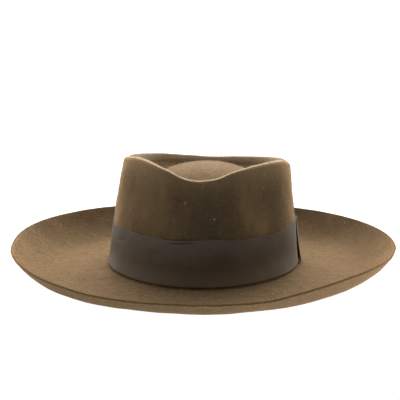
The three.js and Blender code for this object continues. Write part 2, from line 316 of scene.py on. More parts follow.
class Sections:
    """Upright sections through the hat, one for each angle. Every method gives points in mm."""

    def __init__(self, angles):
        self.angles = angles
        side = np.sin(angles)
        self.base = oval(angles, HEAD["half_width"], HEAD["half_length"], HEAD["half_length"], 2)
        self.base[..., 2] = REST + HEAD["side_rise"] * side**2
        outline = rim_outline(angles)
        along = unit(rim_outline(angles + SMALL_TURN) - outline)
        self.outward = np.stack([along[..., 1], -along[..., 0], np.zeros_like(side)], -1)
        self.pinch = sum(pinch["depth"] * hump(angles, pinch["at"], pinch["spread"]) for pinch in PINCHES)
        self.radius = CREST["radius"] + CREST["extra_at_sides"] * side**4
        self.inner_turn = math.pi - np.radians(around(INNER_LEAN, angles))
        height = around(RIM_HEIGHT, angles) - RIM_FALL * side
        self.centre = outline - self.outward * (self.radius + self.pinch * PINCH["rim_share"])[..., None]
        shoulder = SHOULDER["out"] * hump(angles, SHOULDER["at"], SHOULDER["spread"])
        self.centre += self.outward * shoulder[..., None]
        self.centre[..., 0] += RIM_SHIFT
        self.centre[..., 2] = REST + height - self.radius
        rise = self.centre - self.base
        inward = -(rise * self.outward).sum(-1)
        reach = np.hypot(inward, rise[..., 2])
        self.lean = np.arctan2(inward, rise[..., 2]) - np.arcsin(self.radius / reach)
        self.wall_top = self.crest(self.lean)
        self.length = np.linalg.norm(self.wall_top - self.base, axis=-1)
        self.facing = self.outward * np.cos(self.lean)[..., None] + UP * np.sin(self.lean)[..., None]
        squareness = around(BRIM_SQUARENESS, angles)
        self.edge = oval(angles, BRIM["half_width"], BRIM["half_length"], BRIM["half_length"], squareness)
        self.edge[..., 0] += BRIM["shift"]
        self.edge[..., 2] = REST + around(EDGE_HEIGHT, angles)

    def crest(self, turn):
        turn = np.broadcast_to(turn, self.angles.shape)[..., None]
        return self.centre + self.radius[..., None] * (self.outward * np.cos(turn) + UP * np.sin(turn))

    def wall(self, share, out=0.0):
        """The crown's side, at a share of its height and a distance out from the felt."""
        share = np.broadcast_to(share, self.angles.shape)
        going_in = smoothstep(share, PINCH["foot"], PINCH["deepest"])
        coming_back = 1 + (PINCH["rim_share"] - 1) * smoothstep(share, PINCH["deepest"], 1)
        profile = np.where(share < PINCH["deepest"], going_in, coming_back)
        pressed = self.pinch * (profile - PINCH["rim_share"] * share)
        swell = WALL_BULGE * 4 * share * (1 - share)
        line = self.base + (self.wall_top - self.base) * share[..., None]
        return line + self.outward * (swell - pressed)[..., None] + self.facing * np.asarray(out)[..., None]

    def dome(self, share):
        x = RIM_SHIFT + DOME["shift"] + DOME["half_width"] * share * np.sin(self.angles)
        y = -DOME["half_length"] * share * np.cos(self.angles)
        z = REST + DOME["top"] - DOME["drop"] * share * share + 0 * x
        return np.stack([x, y, z], -1)

    def trough(self, share):
        """The groove from the dome's edge down and up again to the inside of the rim."""
        turn = self.inner_turn[..., None]
        inside = self.crest(self.inner_turn)
        down = -self.outward * np.sin(turn) + UP * np.cos(turn)
        edge = self.dome(1.0)
        x = DOME["half_width"] * np.sin(self.angles)
        y = -DOME["half_length"] * np.cos(self.angles)
        fall = unit(np.stack([x, y, np.full_like(x, -2 * DOME["drop"])], -1))
        depth = inside[..., 2] - (edge[..., 2] - TROUGH["below"])
        inner_handle = inside + down * (TROUGH["steepness"] * depth / -down[..., 2])[..., None]
        outer_handle = edge + fall * TROUGH["reach"]
        u = 1 - share
        return (
            edge * u**3
            + outer_handle * 3 * u * u * share
            + inner_handle * 3 * u * share * share
            + inside * share**3
        )

    def brim_reach(self):
        return np.linalg.norm((self.edge - self.base)[..., :2], axis=-1)

    def brim(self, share):
        """The brim's upper face: a gentle dip, then a curl that steepens to the edge."""
        share = np.broadcast_to(share, self.angles.shape)
        flat_share = BRIM["flat_share"]
        dip = around(BRIM_DIP, self.angles)
        low = self.base[..., 2] - dip
        flat = low + dip * (1 - share / flat_share) ** 2
        curl = np.clip((share - flat_share) / (1 - flat_share), 0, 1) ** around(CURL_POWER, self.angles)
        points = self.base + (self.edge - self.base) * share[..., None]
        points[..., 2] = np.where(share < flat_share, flat, low + (self.edge[..., 2] - low) * curl)
        return points

    def bend(self, share):
        """The bend from the foot of the wall, at 0, to the start of the brim, at 1."""
        top = self.wall(BASE_BEND / self.length)
        end = self.brim(BASE_BEND / self.brim_reach())
        return top * (1 - share) ** 2 + self.base * 2 * share * (1 - share) + end * share**2


def grid_normals(rows):
    """Directions out of a sheet of points, from their neighbours down the rows and round the hat."""
    down = np.gradient(rows, axis=0)
    across = np.roll(rows, -1, axis=1) - np.roll(rows, 1, axis=1)
    return unit(np.cross(down, across))


def grid_quads(height, width, wrap_height=False, wrap_width=False):
    """Corner numbers for every square of a grid whose point (row, column) is row * width + column."""
    i = np.arange(height if wrap_height else height - 1)[:, None]
    j = np.arange(width if wrap_width else width - 1)[None, :]
    i2, j2 = (i + 1) % height, (j + 1) % width
    corners = [i * width + j, i2 * width + j, i2 * width + j2, i * width + j2]
    return np.stack(np.broadcast_arrays(*corners), -1).reshape(-1, 4)


def close_seam(mesh, values, turn):
    """Carries the first coordinate on by a whole turn on the faces that cross its seam."""
    corners = np.empty(len(mesh.polygons), int)
    mesh.polygons.foreach_get("loop_total", corners)
    face = np.repeat(np.arange(len(corners)), corners)
    lowest = np.full(len(corners), np.inf)
    highest = np.full(len(corners), -np.inf)
    np.minimum.at(lowest, face, values[:, 0])
    np.maximum.at(highest, face, values[:, 0])
    across = (highest - lowest > turn / 2)[face] & (values[:, 0] < turn / 2)
    values[across, 0] += turn
    return values


def make_piece(name, points, faces, material, uvs=None, turn=None):
    """A smooth-shaded mesh piece from points in millimetres that rides on the hat."""
    mesh = bpy.data.meshes.new(name)
    corners = (np.asarray(points).reshape(-1, 3) * MM).tolist()
    mesh.from_pydata(corners, [], [list(map(int, face)) for face in faces])
    mesh.validate()
    mesh.polygons.foreach_set("use_smooth", np.ones(len(mesh.polygons), bool))
    if uvs is not None:
        layer = mesh.uv_layers.new(name="cloth")
        corner = np.empty(len(mesh.loops), int)
        mesh.loops.foreach_get("vertex_index", corner)
        values = np.asarray(uvs, float).reshape(-1, 2)[corner]
        if turn:
            values = close_seam(mesh, values, turn)
        layer.data.foreach_set("uv", values.ravel())
    mesh.materials.append(material)
    mesh.update()
    piece = bpy.data.objects.new(name, mesh)
    bpy.context.scene.collection.objects.link(piece)
    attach(piece, "root")
    return piece


def felt_skin():
    """Rows of points down the upper face, round the cut edge and back underneath, and each row's station.

    A station counts the parts passed on the way from the pole: 0 to 1 over the dome, 2 at the top of
    the trough, 3 at the foot of the rim's round, 4 at the foot of the wall, 5 at the cut edge, 6 at
    its lower side and 7 at the pole underneath.
    """
    cuts = Sections(np.arange(FELT_COLUMNS) * 2 * np.pi / FELT_COLUMNS)
    wall_foot = BASE_BEND / cuts.length
    brim_start = BASE_BEND / cuts.brim_reach()
    parts = [
        (cuts.dome, np.linspace(0, 1, DOME_ROWS + 1)[1:], 0),
        (cuts.trough, np.linspace(0, 1, TROUGH_ROWS + 1)[1:-1], 1),
        (lambda share: cuts.crest(cuts.inner_turn + (cuts.lean - cuts.inner_turn) * share),
         np.linspace(0, 1, CREST_ROWS + 1), 2),
        (lambda share: cuts.wall(1 + (wall_foot - 1) * share), np.linspace(0, 1, WALL_ROWS + 1)[1:-1], 3),
        (cuts.bend, np.linspace(0, 1, BEND_ROWS + 1), 4),
        (lambda share: cuts.brim(brim_start + (1 - brim_start) * share),
         np.linspace(0, 1, BRIM_ROWS + 1)[1:], 4),
    ]
    upper = np.array([line(share) for line, shares, _ in parts for share in shares])
    stations = np.array([start + share for line, shares, start in parts for share in shares])
    bend_ends = len(stations) - BRIM_ROWS
    stations[bend_ends - BEND_ROWS - 1:bend_ends] = 4
    upper += grid_normals(upper) * waver(upper)[..., None]
    normals = grid_normals(upper)
    under = upper - normals * FELT
    under[..., 2] = np.maximum(under[..., 2], 0)

    outward = unit(upper[-1] - upper[-2])
    down = unit(under[-1] - upper[-1])
    edge = []
    for turn in np.linspace(math.pi / 2, 0, CUT_EDGE_STEPS)[1:]:
        edge.append((CUT_EDGE_ROUND * math.cos(turn), CUT_EDGE_ROUND * (1 - math.sin(turn))))
    edge += [(reach, FELT - depth) for reach, depth in reversed(edge)]
    edge_rows = np.array([upper[-1] + outward * reach + down * depth for reach, depth in edge])
    edge_stations = [5 + (i + 1) / (len(edge) + 1) for i in range(len(edge))]
    rows = np.concatenate([upper, edge_rows, under[::-1]])
    stations = np.concatenate([stations, edge_stations, np.linspace(6, 7, len(under))])
    return rows, stations


def felt_body(material, rows, stations):
    """Crown and brim in one sheet of felt, closed at the poles."""
    top = np.array([RIM_SHIFT + DOME["shift"], 0, REST + DOME["top"]])
    points = np.concatenate([rows.reshape(-1, 3), [top, top - UP * FELT]])
    faces = grid_quads(len(rows), FELT_COLUMNS, wrap_width=True).tolist()
    pole = len(rows) * FELT_COLUMNS
    last = pole - FELT_COLUMNS
    for i in range(FELT_COLUMNS):
        following = (i + 1) % FELT_COLUMNS
        faces.append((pole, i, following))
        faces.append((pole + 1, last + following, last + i))
    round_share = np.broadcast_to(np.arange(FELT_COLUMNS) / FELT_COLUMNS, rows.shape[:2])
    uvs = np.stack([round_share, np.broadcast_to(stations[:, None], rows.shape[:2])], -1).reshape(-1, 2)
    uvs = np.concatenate([uvs, [(0.5, 0.0), (0.5, 7.0)]])
    piece = make_piece("felt_crown_and_brim", points, faces, material, uvs, 1.0)
    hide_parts("felt_body")


def pick_places(draw, rows, weight, count):
    """Random places on a skin, as likely as weight times area, each with its ways down and out."""
    below = rows[1:] - rows[:-1]
    beside = np.roll(rows, -1, axis=1)[:-1] - rows[:-1]
    share = np.linalg.norm(np.cross(below, beside), axis=-1) * weight
    reached = np.cumsum(share.ravel())
    cell = np.searchsorted(reached, draw.uniform(0, reached[-1], count))
    below, beside = below.reshape(-1, 3)[cell], beside.reshape(-1, 3)[cell]
    along, across = draw.uniform(size=(2, count, 1))
    places = rows[:-1].reshape(-1, 3)[cell] + below * along + beside * across
    return places, unit(below), unit(np.cross(below, beside))


def felt_hairs(kind, material, rows, stations):
    """Loose hairs of the brushed felt: thin bent slivers with their ends sunk in its face."""
    draw = np.random.default_rng(kind["seed"])
    count = kind["count"]
    station = ((stations[1:] + stations[:-1]) / 2)[:, None]
    ribbon_top = REST + RIBBON["foot"] + RIBBON["width"]
    covered = (station > 3) & (station < BEND_ENDS) & (rows[:-1, :, 2] < ribbon_top)
    top = kind["top"] + (kind["inside"] - kind["top"]) * smoothstep(station, *DOME_EDGE)
    above = np.where(station > 4, kind["brim"], np.where(station > WALL_SIDE, kind["wall"], top))
    weight = np.where(station > UNDERSIDE, kind["under"], above) * ~covered
    weight = weight * (1 - kind["bare_front"] * (1 - smoothstep(rows[:-1, :, 1], *BARE_FRONT)))
    place, downhill, outward = pick_places(draw, rows, weight, count)
    turn = draw.uniform(0, 2 * np.pi, (count, 1))
    ahead = downhill * np.cos(turn) + np.cross(outward, downhill) * np.sin(turn)
    aside = np.cross(outward, ahead)
    length = draw.uniform(*kind["length"], (count, 1))
    half = draw.uniform(*kind["thickness"], (count, 1)) / 2
    bend = draw.uniform(-HAIR_BEND, HAIR_BEND, (count, 1)) * length
    lift = draw.uniform(*HAIR_LIFT, (count, 1))
    stands = draw.uniform(size=(count, 1)) < kind["standing"]
    standing = stands * draw.uniform(0, kind["rise"], (count, 1))

    def middle(s):
        arch = 1 - s * s
        out = lift * arch - HAIR_SUNK + standing * (1 + s) / 2
        return place + ahead * (length * s / 2) + aside * (bend * arch) + outward * out

    points = [middle(-1.0)]
    for s in (-1 / 3, 1 / 3):
        for angle in np.radians((90, 210, 330)):
            points.append(middle(s) + aside * (half * math.cos(angle)) + outward * (half * math.sin(angle)))
    points = np.stack(points + [middle(1.0)], 1)
    points[..., 2] = np.maximum(points[..., 2], HAIR_FLOOR)
    corners = points.shape[1]
    starts = range(0, corners * count, corners)
    faces = [[start + corner for corner in side] for start in starts for side in HAIR_SIDES]
    tone = np.repeat(draw.uniform(size=count), corners)
    uvs = np.stack([tone, np.zeros_like(tone)], -1)
    piece = make_piece(kind["piece"], points, faces, material, uvs)


def strip_outline(strip):
    """Across and through positions round a strip's cross-section, with rounded edges."""
    half = strip["thickness"] / 2
    reach = strip["width"] / 2 - half
    across = np.linspace(-reach, reach, strip["rows"] + 1)
    turns = np.linspace(-np.pi / 2, np.pi / 2, STRIP_EDGE_STEPS)[1:-1]
    outline = [(-a, half) for a in across]
    outline += [(-reach - half * math.cos(t), -half * math.sin(t)) for t in turns]
    outline += [(a, -half) for a in across]
    outline += [(reach + half * math.cos(t), half * math.sin(t)) for t in turns]
    return np.array(outline)


def on_wall(angles, heights, outs):
    """Points over the crown's side at heights up the felt and distances out from it, in mm."""
    shape = np.broadcast(angles, heights, outs).shape
    angles, heights, outs = (np.broadcast_to(value, shape).ravel() for value in (angles, heights, outs))
    cuts = Sections(angles)
    share = heights / cuts.length
    uneven = waver(cuts.wall(share))
    return cuts.wall(share, outs + uneven).reshape(*shape, 3)


def ribbon_lift(angles, share):
    """How far the ribbon stands off, at a share of its width up from its foot."""
    lift = 0.0
    for spot in RIBBON_LIFTS:
        upward = smoothstep(share, spot["from"], spot["to"])
        lift = lift + spot["lift"] * hump(angles, spot["at"], spot["spread"]) * upward
    for flare in RIBBON_FLARES:
        lowness = np.clip(1 - share / flare["below"], 0, 1)
        lift = lift + flare["out"] * hump(angles, flare["at"], flare["spread"]) * lowness**2
    crease = RIBBON_CREASE
    along = np.degrees(turned(angles, crease["at"]))
    away = (share - crease["height"] - crease["slope"] * along) / crease["width"]
    return lift - crease["depth"] * hump(angles, crease["at"], crease["spread"]) * np.exp(-away * away)


def stitch_dimple(angles, heights):
    """How far the tack stitches pull the ribbon in."""
    pull = 0.0
    for stitch in STITCHES:
        away = turned(angles, stitch["at"]) * HEAD["half_length"]
        distance = np.hypot(away, heights - stitch["height"])
        pull = pull + STITCH["dimple"] * np.exp(-((distance / STITCH["reach"]) ** 2))
    return pull


def ribbon_band(material):
    """The ribbon round the crown, a closed strip with an uneven upper edge."""
    angles = np.arange(RIBBON_COLUMNS) * 2 * np.pi / RIBBON_COLUMNS
    outline = strip_outline(RIBBON)
    share = outline[:, :1] / RIBBON["width"] + 0.5
    heights = RIBBON["foot"] + share * (RIBBON["width"] + around(RIBBON_RISE, angles))
    outs = RIBBON["gap"] + RIBBON["thickness"] / 2 + outline[:, 1:]
    outs = outs + ribbon_lift(angles, share) - stitch_dimple(angles, heights)
    outs = np.maximum(outs, RIBBON["gap"] / 2 + RIBBON["thickness"] / 2 + outline[:, 1:])
    points = on_wall(angles[None, :], heights, outs)
    mean_radius = math.sqrt((HEAD["half_width"] ** 2 + HEAD["half_length"] ** 2) / 2)
    girth = round(2 * np.pi * mean_radius / RIB_PITCH) * RIB_PITCH
    u = np.broadcast_to(angles / (2 * np.pi) * girth, heights.shape)
    uvs = np.stack([u, heights], -1)
    faces = grid_quads(len(outline), RIBBON_COLUMNS, wrap_height=True, wrap_width=True)
    piece = make_piece("grosgrain_band", points, faces, material, uvs, girth)
    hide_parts("ribbon_band")


def stadium(half_length, low, high, steps):
    """A flattened ring: places along and out, and the direction out of the ring, once round."""
    radius = (high - low) / 2
    straight = np.linspace(-1, 1, steps)[:, None] * (half_length - radius)
    turns = np.linspace(np.pi / 2, -np.pi / 2, LOOP_END_STEPS)[1:-1, None]
    end_along = half_length - radius + radius * np.cos(turns)
    end = np.hstack([end_along, (low + high) / 2 + radius * np.sin(turns)])
    end_normals = np.hstack([np.cos(turns), np.sin(turns)])
    front = np.hstack([straight, np.full_like(straight, high)])
    back = np.hstack([-straight, np.full_like(straight, low)])
    flip = np.array([-1.0, 1.0])
    path = np.vstack([front, end, back, (end * flip)[::-1]])
    up = np.tile([0.0, 1.0], (steps, 1))
    normals = np.vstack([up, end_normals, -up, (end_normals * flip)[::-1]])
    return path, normals


def ribbon_ring(half_length, low, high, strip):
    """A flattened ring of ribbon: places along, out and across, ways out, cloth coordinates, faces."""
    path, normals = stadium(half_length, low, high, strip["steps"])
    outline = strip_outline(strip)
    across, through = outline[None, :, 0], outline[None, :, 1]
    along = path[:, :1] + normals[:, :1] * through
    out = path[:, 1:] + normals[:, 1:] * through
    round_ring = strip["cloth_step"] * np.arange(len(path))[:, None]
    uvs = np.stack(np.broadcast_arrays(round_ring, across), -1)
    faces = grid_quads(len(path), len(outline), wrap_height=True, wrap_width=True)
    return along, out, across, normals[:, 1:], uvs, faces


def along_to_angle(along):
    return BOW_ANGLE + along / BOW_RADIUS


def bow_loops(material):
    """The two flat loops: one closed ring of ribbon, drawn in and creased under the knot."""
    along, layers, across, _, uvs, faces = ribbon_ring(BOW_HALF, -BOW_FOLD, BOW_FOLD, BOW)
    away = np.abs(along) / BOW_HALF
    wide = smoothstep(away, BOW_WAIST["from"], BOW_WAIST["to"])
    width_here = BOW_WAIST["width"] + (BOW["width"] - BOW_WAIST["width"]) * wide
    heights = BOW["middle"] + across * width_here / BOW["width"]
    drawn = np.exp(-((away / BOW_DRAWN["reach"]) ** 2))
    pleating = np.cos(2 * np.pi * BOW_DRAWN["pleats"] * across / BOW["width"])
    pleats = BOW_DRAWN["pleat_height"] * drawn * pleating
    downward = 0.5 - across / BOW["width"]
    opening = BOW_OPENINGS["top"] + (BOW_OPENINGS["foot"] - BOW_OPENINGS["top"]) * downward
    open_from, open_at, open_to, shut_at = BOW_OPEN_OVER
    opened = opening * smoothstep(away, open_from, open_at) * (1 - smoothstep(away, open_to, shut_at))
    flattened = BOW_PRESSED * np.clip(away * (1 - downward), 0, 1)
    squeeze = (1 - BOW_DRAWN["squeeze"] * drawn) * (1 - flattened)
    lowness = np.clip(downward, 0, 1) ** 2
    springs = BOW_SPRINGS["top"] + (BOW_SPRINGS["foot"] - BOW_SPRINGS["top"]) * lowness
    springs = springs * away ** BOW_SPRINGS["steepness"]
    outs = BOW["seat"] + springs + pleats + opened / 2 + layers * (1 + opened) * squeeze
    points = on_wall(along_to_angle(along), heights, outs)
    piece = make_piece("bow_ribbon_loops", points, faces[:, ::-1], material, uvs)
    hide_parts("bow_loops")


def bow_knot(material):
    """The knot: a short ring of ribbon over the middle of the loops."""
    half_height = BOW_WAIST["width"] / 2 + KNOT["clearance"]
    ring = ribbon_ring(half_height, KNOT["back"], KNOT["front"], KNOT)
    upward, outs, across, facing, uvs, faces = ring
    middle = 1 - (upward / half_height) ** 2
    folding = np.cos(2 * np.pi * across / KNOT_FACE["fold_width"])
    face = (KNOT_FACE["swell"] + KNOT_FACE["fold_height"] * folding) * middle * (facing > 0.5)
    along = across * (1 - KNOT_FACE["narrowing"] * middle)
    points = on_wall(along_to_angle(along), BOW["middle"] + upward, outs + face)
    piece = make_piece("bow_knot_wrap", points, faces, material, uvs)
    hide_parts("bow_knot")


def tack_stitches(material):
    """Short stitches of thread that hold the ribbon, each a bar that dips in at both ends."""
    points, faces = [], []
    for stitch in STITCHES:
        start = len(points)
        turn = math.radians(stitch["turn"])
        for place in np.linspace(-1, 1, STITCH_RINGS):
            half = STITCH["thickness"] / 2 * math.sqrt(max(1 - place**6, STITCH["thin_end"]))
            bar_out = RIBBON["gap"] + RIBBON["thickness"] + STITCH["proud"] - STITCH["dip"] * place * place
            for angle in np.arange(STITCH_SIDES) * 2 * np.pi / STITCH_SIDES:
                ahead = place * STITCH["length"] / 2
                sideways = half * math.cos(angle)
                along = ahead * math.cos(turn) - sideways * math.sin(turn)
                height = stitch["height"] + ahead * math.sin(turn) + sideways * math.cos(turn)
                at = math.radians(stitch["at"]) + along / HEAD["half_length"]
                points.append(on_wall(at, height, bar_out + half * math.sin(angle)).reshape(3))
        faces += (grid_quads(STITCH_RINGS, STITCH_SIDES, wrap_width=True)[:, ::-1] + start).tolist()
        last = start + (STITCH_RINGS - 1) * STITCH_SIDES
        faces.append([start + i for i in reversed(range(STITCH_SIDES))])
        faces.append([last + i for i in range(STITCH_SIDES)])
    piece = make_piece("tack_stitches", np.array(points), faces, material)


class Nodes:
    """Adds nodes to one node tree, with inputs given as numbers, colours or other nodes' outputs."""

    def __init__(self, tree):
        self.tree = tree
        tree.nodes.clear()

    def add(self, kind, inputs=None, **settings):
        node = self.tree.nodes.new(kind)
        for name, value in settings.items():
            setattr(node, name, value)
        for name, value in (inputs or {}).items():
            if isinstance(value, bpy.types.NodeSocket):
                self.tree.links.new(value, node.inputs[name])
            else:
                node.inputs[name].default_value = value
        return node

    def coat(self, colour, layers):
        """A colour under layers of others, each given with its share."""
        for share, other in layers:
            mixed = self.add("ShaderNodeMix", {0: share, 6: colour, 7: other}, data_type="RGBA")
            colour = mixed.outputs[2]
        return colour

    def math(self, operation, first, second=0.0):
        return self.add("ShaderNodeMath", {0: first, 1: second}, operation=operation).outputs[0]

    def times(self, first, second):
        return self.math("MULTIPLY", first, second)

    def split(self, vector):
        """The X, Y and Z of a vector."""
        return self.add("ShaderNodeSeparateXYZ", {"Vector": vector}).outputs

    def noise(self, vector, settings):
        return self.add("ShaderNodeTexNoise", {"Vector": vector, **settings}).outputs["Fac"]

    def spread(self, value, low, high, to_low=0.0, to_high=1.0):
        """A share that rises smoothly as a value goes from low to high."""
        inputs = {"Value": value, "From Min": low, "From Max": high, "To Min": to_low, "To Max": to_high}
        return self.add("ShaderNodeMapRange", inputs, interpolation_type="SMOOTHSTEP").outputs["Result"]

    def blotch(self, vector, kind):
        """Soft-edged blotches of noise, at their least outside and at their strength inside."""
        noise = self.noise(vector, {"Scale": kind["scale"], **BLOTCH_NOISE})
        return self.spread(noise, *kind["rises"], kind.get("least", 0.0), kind["strength"])

    def grain(self, vector, settings):
        """A vector squeezed and turned, which draws out what is made from it."""
        return self.add("ShaderNodeMapping", {"Vector": vector, **settings}).outputs["Vector"]

    def spot(self, place, spot):
        """A soft-edged round place, its strength in the middle and 0 at its reach."""
        shares = tuple(1 / reach for reach in spot["reach"])
        offset = self.add("ShaderNodeVectorMath", {0: place, 1: spot["middle"]}, operation="SUBTRACT")
        away = self.add("ShaderNodeVectorMath", {0: offset.outputs[0], 1: shares}, operation="MULTIPLY")
        length = self.add("ShaderNodeVectorMath", {0: away.outputs[0]}, operation="LENGTH")
        return self.spread(length.outputs["Value"], 1.0, 0.0, 0.0, spot["strength"])

    def band(self, value, band):
        """A soft-edged band of a value, given by its start, full from, full to, end and strength."""
        start, full_from, full_to, end, strength = band
        rising = self.spread(value, start, full_from)
        return self.times(rising, self.spread(value, end, full_to, 0.0, strength))

    def surface(self, colour, settings, relief=None):
        """The shader and the output, with the settings that are the same all over and the relief."""
        inputs = {"Base Color": colour, **settings}
        if relief:
            inputs["Normal"] = self.add("ShaderNodeBump", relief).outputs["Normal"]
        shader = self.add("ShaderNodeBsdfPrincipled", inputs)
        self.add("ShaderNodeOutputMaterial", {"Surface": shader.outputs["BSDF"]})


def new_material(name):
    material = bpy.data.materials.new(name)
    material.use_nodes = True
    return material, Nodes(material.node_tree)


FELT_COLOUR = (0.230, 0.155, 0.083, 1)
FELT_DARK = (0.140, 0.094, 0.050, 1)
FELT_PALE = (0.46, 0.305, 0.155, 1)
# Pale colour for lint specks, and for painted light on the crown's top and inside the back of the rim
FELT_DUST_AND_LIGHT = (0.60, 0.47, 0.32, 1)
RIM_HIGHLIGHT_COLOUR = (0.86, 0.69, 0.48, 1)
FELT_CUT = (0.165, 0.090, 0.032, 1)
FELT_SHADED = (0.122, 0.098, 0.061, 1)
# The golden and pale hair tones are partly the loose fibres' own lighter colour and partly painted glow of
# fuzz lit from behind
HAIR_TONES = {
    "wool_hair": [(0.085, 0.058, 0.031, 1), (0.222, 0.150, 0.080, 1), (0.60, 0.44, 0.27, 1)],
    "golden_wool_hair": [(0.35, 0.27, 0.16, 1), (0.57, 0.46, 0.30, 1), (0.88, 0.75, 0.54, 1)],
    "pale_wool_hair": [(0.64, 0.52, 0.38, 1), (0.80, 0.68, 0.52, 1), (0.94, 0.83, 0.67, 1)],
}
MIDDLE_TONE = 0.6  # the share of the hairs that are darker than the middle tone
RIBBON_COLOUR = (0.222, 0.185, 0.147, 1)
RIBBON_DARK = (0.175, 0.146, 0.116, 1)
RIBBON_FOLD_SHADOW = (0.050, 0.042, 0.034, 1)
# Painted light on the ribbon's foot, where the brim throws light on it
RIBBON_BOUNCE_LIGHT = (0.38, 0.33, 0.27, 1)
THREAD_DARK = (0.010, 0.008, 0.007, 1)
THREAD_PALE = (0.026, 0.020, 0.016, 1)
WHITE = (1, 1, 1, 1)

# What is the same all over a material
FELT_SURFACE = {
    "Roughness": 0.95, "Specular IOR Level": 0.05,
    "Sheen Weight": 1.0, "Sheen Roughness": 0.3, "Sheen Tint": (1.0, 0.65, 0.35, 1),
}
HAIR_SURFACE = {
    "Roughness": 0.9, "Specular IOR Level": 0.10,
    "Sheen Weight": 0.3, "Sheen Roughness": 0.4, "Sheen Tint": (1.0, 0.66, 0.38, 1),
}
RIBBON_SURFACE = {
    "Roughness": 0.75, "Specular IOR Level": 0.22,
    "Sheen Weight": 0.15, "Sheen Roughness": 0.3, "Sheen Tint": (0.90, 0.74, 0.58, 1),
}
THREAD_SURFACE = {"Roughness": 0.7}

# Fine noise, and how strongly and how deeply, in metres, it roughens a face
FIBRES = {"Scale": 1500.0, "Detail": 5.0, "Roughness": 0.7}
FIBRES_SHARE = 0.35
MATTING = {"Scale": 330.0, "Detail": 4.0, "Roughness": 0.6}
FELT_RELIEF = {"Strength": 0.70, "Distance": 0.0006}
THREADS = {"Scale": 1300.0, "Detail": 3.0, "Roughness": 0.7}
THREADS_SHARE = 0.5
RIBBON_RELIEF = {"Strength": 0.5, "Distance": 0.00012}
TWIST = {"Scale": 2600.0, "Detail": 2.0, "Roughness": 0.55}

# Blotches: how fine, over which values of their noise they rise, and how strongly
BLOTCH_NOISE = {"Detail": 3.0, "Roughness": 0.55}
MOTTLES = [
    {"scale": 38.0, "rises": (0.35, 0.68), "strength": 0.25},
    {"scale": 150.0, "rises": (0.42, 0.70), "strength": 0.30},
]
STREAKS = {"scale": 95.0, "rises": (0.50, 0.72), "strength": 0.26}
SHADES = {"scale": 60.0, "rises": (0.52, 0.70), "strength": 0.45}
DASHES = {"scale": 260.0, "rises": (0.50, 0.66), "strength": 0.42}
GAPS = {"scale": 300.0, "rises": (0.50, 0.66), "strength": 0.75}
UNEVEN_RIM = {"scale": 420.0, "rises": (0.30, 0.60), "least": 0.45, "strength": 1.0}
FADING = {"scale": 30.0, "rises": (0.35, 0.70), "strength": 1.0}
LINT = {"scale": 190.0, "rises": (0.24, 0.10), "rarer_than": 0.94, "strength": 0.7}

# How the streaks, the dashes and the gaps are drawn out
UPRIGHT = {"Scale": (1.0, 1.0, 0.28)}
LENGTHWAYS = {"Rotation": (0.3, 0.2, 0.5), "Scale": (1.0, 2.6, 2.6)}
CROSSWAYS = {"Rotation": (0.2, 0.4, -0.6), "Scale": (2.6, 1.0, 2.6)}

# Bands of the felt's second cloth coordinate: start, full from, full to, end and strength
# Painted highlight: a pale line along the crest of the rim, where the light from behind catches its fuzz
RIM_HIGHLIGHT_BAND = (2.36, 2.45, 2.62, 2.80, 0.95)
# Painted light on the top of the wall, just below the crest
WALL_TOP_HIGHLIGHT = (2.60, 2.72, 2.90, 3.15, 0.85)
# Painted light inside the rim
INSIDE_RIM_LIGHT = (1.85, 1.98, 2.40, 2.70, 0.60)
# Painted shade in the groove round the dome
GROOVE_SHADE = (1.00, 1.12, 1.80, 1.92, 0.75)
WALL = (2.95, 3.10, 3.90, 4.00, 1.0)
# Painted shade in the crevice where the ribbon's foot meets the brim
RIBBON_FOOT_SHADE = (3.97, 3.99, 4.03, 4.12, 0.25)
CUT_FACE = (5.02, 5.10, 5.50, 5.80, 0.9)
# Painted highlight on the upper corner of the cut edge, at the front only
EDGE_HIGHLIGHT = (4.975, 4.992, 5.02, 5.08, 0.8)

# Shares that rise from one value to another, with the least and the greatest share where these
# aren't 0 and 1. First by height in metres, then by the place from front to back, then sideways.
# Painted light: the crown's top is paler, as where the light from above falls
TOP_LIGHT_HEIGHT = (0.084, 0.104, 0.0, 0.10)  # the crown's top is paler
# Painted light: the ribbon is paler at its foot
BOUNCE_LIGHT_HEIGHT = (0.036, 0.008, 0.0, 0.6)  # the ribbon is paler at its foot
# The painted light inside the rim falls only on its back
PALE_BACK = (-0.01, 0.05)  # inside the rim, only the back is pale
ROUGH_FRONT = (0.0, 0.10, 1.0, 0.4)  # dashes and gaps are weaker at the back
# The painted highlights on the crest and on the top of the wall are full at the front and weaker at the back
HIGHLIGHT_FRONT = (0.03, -0.03, 0.35, 1.0)
# How far the painted highlight on the cut edge's upper corner reaches back from the front
EDGE_FRONT = (0.06, -0.04)
BESIDE_DIP = (0.012, 0.050, 0.35, 1.0)  # the painted light at the top of the wall is weaker below the dip of the rim
# By the felt's second cloth coordinate, and by the height of a rib
ROUGH_BRIM = (3.9, 4.05, 0.25, 1.0)
ROUGH_TOP = (2.6, 2.4)
# Painted shade in the grooves between the ribs
RIB_GROOVES = (0.2, -1.0, 0.0, 0.35)

# Places in metres where shade is painted on the felt: the crown's front, beyond the right pinch, and the brim
# in front of the crown, in its shadow
SHADE_SPOTS = table(
    "middle reach strength",
    ((0.010, -0.095, 0.064), (0.052, 0.060, 0.050), 0.85),
    ((0.068, -0.054, 0.076), (0.020, 0.040, 0.034), 0.40),
    ((-0.002, -0.150, 0.006), (0.090, 0.060, 0.030), 0.75),
)
